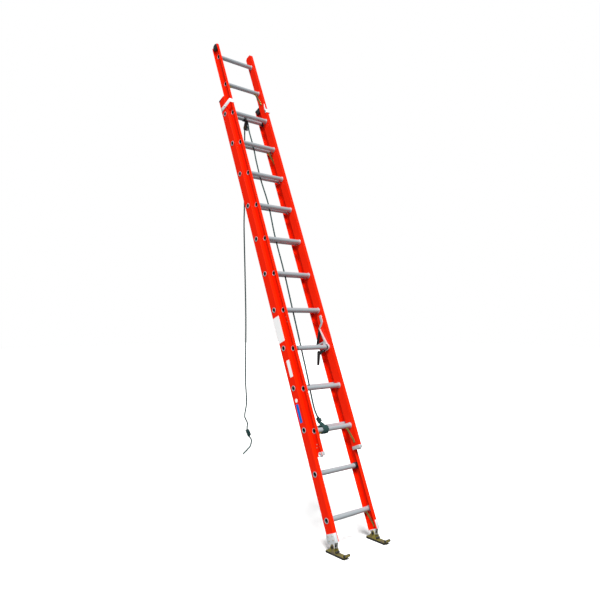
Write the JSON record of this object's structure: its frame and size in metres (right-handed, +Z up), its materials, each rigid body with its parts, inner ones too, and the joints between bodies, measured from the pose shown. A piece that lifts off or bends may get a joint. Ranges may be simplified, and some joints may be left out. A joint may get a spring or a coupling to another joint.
{
  "type": "extension ladder",
  "caption": "Two-section leaning extension ladder with round rungs in channel rails, swivel shoes, rung locks, guide brackets, and a rope over a pulley.",
  "frame": {"origin": "on the floor, under the middle of the ladder without its rope", "axes": "+X towards the climber's right, +Y towards the wall, +Z up; the ladder leans 22.4 degrees from the vertical"},
  "size_m": [0.4394, 1.7022, 3.9965],
  "materials": {
    "fibreglass": "semi-gloss orange-red pigmented resin over glass fibre",
    "rung_aluminium": "extruded, finely ribbed, bare",
    "cast_aluminium": "bare, satin",
    "zinc_steel": "yellow zinc plate",
    "black_rubber": "matt",
    "black_plastic": "moulded",
    "black_steel": "black, satin",
    "bright_steel": "bright zinc plate",
    "rope": "laid synthetic rope, grey-green"
  },
  "bodies": {
    "base": {"base_rung_01": "rung_aluminium", "base_rung_02": "rung_aluminium", "base_rung_03": "rung_aluminium", "base_rung_04": "rung_aluminium", "base_rung_05": "rung_aluminium", "base_rung_06": "rung_aluminium", "base_rung_07": "rung_aluminium", "base_rung_08": "rung_aluminium", "base_rung_09": "rung_aluminium", "base_rung_10": "rung_aluminium", "base_rung_11": "rung_aluminium", "base_rung_12": "rung_aluminium", "left_base_rail": "fibreglass", "right_base_rail": "fibreglass", "left_boot": "cast_aluminium", "right_boot": "cast_aluminium", "left_guide": "bright_steel", "right_guide": "bright_steel", "left_shoe_bolt": "black_steel", "right_shoe_bolt": "black_steel", "left_base_brace": "zinc_steel", "right_base_brace": "zinc_steel", "pulley_hanger": "black_steel", "haul_strand": "rope", "free_strand": "rope", "rope_knot": "rope"},
    "left_shoe": {"left_shoe_plate": "zinc_steel", "left_shoe_tread": "black_rubber"},
    "right_shoe": {"right_shoe_plate": "zinc_steel", "right_shoe_tread": "black_rubber"},
    "fly": {"fly_rung_01": "rung_aluminium", "fly_rung_02": "rung_aluminium", "fly_rung_03": "rung_aluminium", "fly_rung_04": "rung_aluminium", "fly_rung_05": "rung_aluminium", "fly_rung_06": "rung_aluminium", "fly_rung_07": "rung_aluminium", "fly_rung_08": "rung_aluminium", "fly_rung_09": "rung_aluminium", "fly_rung_10": "rung_aluminium", "fly_rung_11": "rung_aluminium", "fly_rung_12": "rung_aluminium", "left_fly_rail": "fibreglass", "left_fly_top_plug": "black_plastic", "left_fly_foot_bracket": "bright_steel", "left_fly_brace": "zinc_steel", "left_lock_plate": "bright_steel", "right_fly_rail": "fibreglass", "right_fly_top_plug": "black_plastic", "right_fly_foot_bracket": "bright_steel", "right_fly_brace": "zinc_steel", "right_lock_plate": "bright_steel", "rope_tie": "rope"},
    "left_lock": {"left_lock_hook": "bright_steel"},
    "right_lock": {"right_lock_hook": "bright_steel"},
    "left_finger": {"left_lock_finger": "black_plastic"},
    "right_finger": {"right_lock_finger": "black_plastic"},
    "pulley_block": {"pulley_block": "black_steel", "pulley_axle": "zinc_steel"},
    "pulley_sheave": {"pulley_sheave": "cast_aluminium"}
  },
  "joints": [
    {"name": "fly_slide", "type": "slide", "parent": "base", "child": "fly", "axis": [0, 0.3811, 0.9245], "range_m": [-0.6096, 2.1336], "deforming": ["haul_strand"]},
    {"name": "left_shoe_hinge", "type": "hinge", "parent": "base", "child": "left_shoe", "pos_m": [0, -0.72605, 0.0514], "axis": [1, 0, 0], "range_deg": [-8, 30]},
    {"name": "right_shoe_hinge", "type": "hinge", "parent": "base", "child": "right_shoe", "pos_m": [0, -0.72605, 0.0514], "axis": [1, 0, 0], "range_deg": [-8, 30]},
    {"name": "left_lock_hinge", "type": "hinge", "parent": "fly", "child": "left_lock", "pos_m": [0, -0.27177, 1.33331], "axis": [1, 0, 0], "range_deg": [0, 11], "stiffness_Nm_per_rad": 2, "springref_deg": -20.05},
    {"name": "right_lock_hinge", "type": "hinge", "parent": "fly", "child": "right_lock", "pos_m": [0, -0.27177, 1.33331], "axis": [1, 0, 0], "range_deg": [0, 11], "stiffness_Nm_per_rad": 2, "springref_deg": -20.05},
    {"name": "left_finger_hinge", "type": "hinge", "parent": "left_lock", "child": "left_finger", "pos_m": [0, -0.24962, 1.30439], "axis": [1, 0, 0], "range_deg": [-35, 0], "stiffness_Nm_per_rad": 0.4, "springref_deg": 34.38},
    {"name": "right_finger_hinge", "type": "hinge", "parent": "right_lock", "child": "right_finger", "pos_m": [0, -0.24962, 1.30439], "axis": [1, 0, 0], "range_deg": [-35, 0], "stiffness_Nm_per_rad": 0.4, "springref_deg": 34.38},
    {"name": "block_swing", "type": "hinge", "parent": "base", "child": "pulley_block", "pos_m": [0, 0.5805, 3.27905], "axis": [1, 0, 0], "range_deg": [-8, 8]},
    {"name": "sheave_turn", "type": "hinge", "parent": "pulley_block", "child": "pulley_sheave", "pos_m": [0, 0.5805, 3.22205], "axis": [1, 0, 0], "continuous": true}
  ]
}
